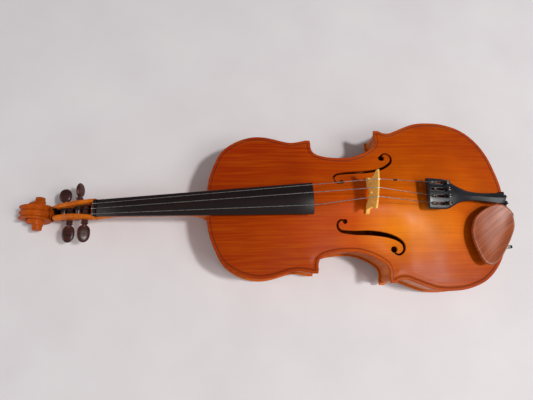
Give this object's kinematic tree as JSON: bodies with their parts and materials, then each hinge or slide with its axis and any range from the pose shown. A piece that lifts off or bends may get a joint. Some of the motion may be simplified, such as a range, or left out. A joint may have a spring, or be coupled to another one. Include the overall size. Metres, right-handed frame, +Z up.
{
  "type": "viola",
  "caption": "Bowed string instrument lying on its back: arched sound box with f-holes, carved scroll and pegs, fingerboard, bridge, tailpiece with fine tuners, clamped chin rest.",
  "frame": {"origin": "middle of the underside of the whole instrument's box, as it lies on its back", "axes": "+X from the scroll to the end button, +Y to the treble side, +Z up out of the front"},
  "size_m": [0.6564, 0.2324, 0.1074],
  "materials": {
    "spruce": "glossy orange-red varnish",
    "maple": "glossy orange-brown varnish",
    "raw_wood": "bare",
    "board": "satin",
    "ebony": "satin",
    "rosewood": "polished",
    "bridge_maple": "bare",
    "black_plastic": "glossy",
    "gut": "satin",
    "black_rubber": "matt",
    "string_metal": "fine wound",
    "tuner_metal": "satin",
    "chin_rest_wood": "polished",
    "cork": "matt",
    "clamp_metal": "polished"
  },
  "bodies": {
    "instrument": {"front_plate": "spruce", "back_plate": "maple", "upper_rib_bass": "maple", "middle_rib_bass": "maple", "lower_rib_bass": "maple", "upper_rib_treble": "maple", "middle_rib_treble": "maple", "lower_rib_treble": "maple", "upper_back_lining_bass": "raw_wood", "upper_front_lining_bass": "raw_wood", "middle_back_lining_bass": "raw_wood", "middle_front_lining_bass": "raw_wood", "lower_back_lining_bass": "raw_wood", "lower_front_lining_bass": "raw_wood", "upper_back_lining_treble": "raw_wood", "upper_front_lining_treble": "raw_wood", "middle_back_lining_treble": "raw_wood", "middle_front_lining_treble": "raw_wood", "lower_back_lining_treble": "raw_wood", "lower_front_lining_treble": "raw_wood", "neck_block": "raw_wood", "end_block": "raw_wood", "upper_corner_block_bass": "raw_wood", "lower_corner_block_bass": "raw_wood", "upper_corner_block_treble": "raw_wood", "lower_corner_block_treble": "raw_wood", "bass_bar": "raw_wood", "sound_post": "raw_wood", "fingerboard": "board", "nut": "ebony", "neck": "maple", "bridge": "bridge_maple", "tailpiece": "black_plastic", "saddle": "ebony", "end_button": "ebony", "tailgut": "gut", "string_high": "string_metal", "string_middle": "string_metal", "string_low": "string_metal", "string_sleeve": "black_rubber", "clamp_cork_top": "cork", "clamp_cork_foot": "cork", "clamp_bar": "clamp_metal", "clamp_foot": "clamp_metal", "chin_rest": "chin_rest_wood"},
    "peg_c_body": {"peg_c": "rosewood"},
    "peg_g_body": {"peg_g": "rosewood"},
    "peg_a_body": {"peg_a": "rosewood"},
    "peg_d_body": {"peg_d": "rosewood"},
    "tuner_screw_1_body": {"tuner_screw_1": "tuner_metal"},
    "tuner_screw_2_body": {"tuner_screw_2": "tuner_metal"},
    "tuner_screw_3_body": {"tuner_screw_3": "tuner_metal"},
    "tuner_screw_4_body": {"tuner_screw_4": "tuner_metal"},
    "tuner_lever_1_body": {"tuner_lever_1": "tuner_metal"},
    "tuner_lever_2_body": {"tuner_lever_2": "tuner_metal"},
    "tuner_lever_3_body": {"tuner_lever_3": "tuner_metal"},
    "tuner_lever_4_body": {"tuner_lever_4": "tuner_metal"},
    "clamp_barrel_1_body": {"clamp_barrel_1": "clamp_metal"},
    "clamp_barrel_2_body": {"clamp_barrel_2": "clamp_metal"}
  },
  "joints": [
    {"name": "peg_c_turn", "type": "hinge", "parent": "instrument", "child": "peg_c_body", "pos_m": [-0.23671, 0, 0.03783], "axis": [0, -1, 0], "continuous": true},
    {"name": "peg_g_turn", "type": "hinge", "parent": "instrument", "child": "peg_g_body", "pos_m": [-0.25871, 0, 0.03101], "axis": [0, -1, 0], "continuous": true},
    {"name": "peg_a_turn", "type": "hinge", "parent": "instrument", "child": "peg_a_body", "pos_m": [-0.24671, 0, 0.0355], "axis": [0, 1, 0], "continuous": true},
    {"name": "peg_d_turn", "type": "hinge", "parent": "instrument", "child": "peg_d_body", "pos_m": [-0.26821, 0, 0.02815], "axis": [0, 1, 0], "continuous": true},
    {"name": "tuner_screw_1_turn", "type": "hinge", "parent": "instrument", "child": "tuner_screw_1_body", "pos_m": [0.22712, 0.01757, 0.08439], "axis": [0, 0, -1], "range_deg": [0, 1080]},
    {"name": "tuner_screw_2_turn", "type": "hinge", "parent": "instrument", "child": "tuner_screw_2_body", "pos_m": [0.22676, 0.00838, 0.086], "axis": [0, 0, -1], "range_deg": [0, 1080]},
    {"name": "tuner_screw_3_turn", "type": "hinge", "parent": "instrument", "child": "tuner_screw_3_body", "pos_m": [0.22639, -0.00081, 0.086], "axis": [0, 0, -1], "range_deg": [0, 1080]},
    {"name": "tuner_screw_4_turn", "type": "hinge", "parent": "instrument", "child": "tuner_screw_4_body", "pos_m": [0.22603, -0.01001, 0.08439], "axis": [0, 0, -1], "range_deg": [0, 1080]},
    {"name": "tuner_lever_1_tilt", "type": "hinge", "parent": "instrument", "child": "tuner_lever_1_body", "pos_m": [0.21183, 0.01818, 0.08139], "axis": [0.0394, 0.9992, 0], "range_deg": [0, 5.5]},
    {"name": "tuner_lever_2_tilt", "type": "hinge", "parent": "instrument", "child": "tuner_lever_2_body", "pos_m": [0.21147, 0.00898, 0.083], "axis": [0.0394, 0.9992, 0], "range_deg": [0, 5.5]},
    {"name": "tuner_lever_3_tilt", "type": "hinge", "parent": "instrument", "child": "tuner_lever_3_body", "pos_m": [0.2111, -0.00021, 0.083], "axis": [0.0394, 0.9992, 0], "range_deg": [0, 5.5]},
    {"name": "tuner_lever_4_tilt", "type": "hinge", "parent": "instrument", "child": "tuner_lever_4_body", "pos_m": [0.21074, -0.0094, 0.08139], "axis": [0.0394, 0.9992, 0], "range_deg": [0, 5.5]},
    {"name": "clamp_barrel_1_turn", "type": "hinge", "parent": "instrument", "child": "clamp_barrel_1_body", "pos_m": [0.32353, -0.0195, 0.03403], "axis": [0, 0, 1], "continuous": true},
    {"name": "clamp_barrel_2_turn", "type": "hinge", "parent": "instrument", "child": "clamp_barrel_2_body", "pos_m": [0.31292, -0.0635, 0.03403], "axis": [0, 0, 1], "continuous": true}
  ],
  "couplings": [
    {"joint": "tuner_lever_1_tilt", "follows": "tuner_screw_1_turn", "ratio": 0.005},
    {"joint": "tuner_lever_2_tilt", "follows": "tuner_screw_2_turn", "ratio": 0.005},
    {"joint": "tuner_lever_3_tilt", "follows": "tuner_screw_3_turn", "ratio": 0.005},
    {"joint": "tuner_lever_4_tilt", "follows": "tuner_screw_4_turn", "ratio": 0.005}
  ]
}
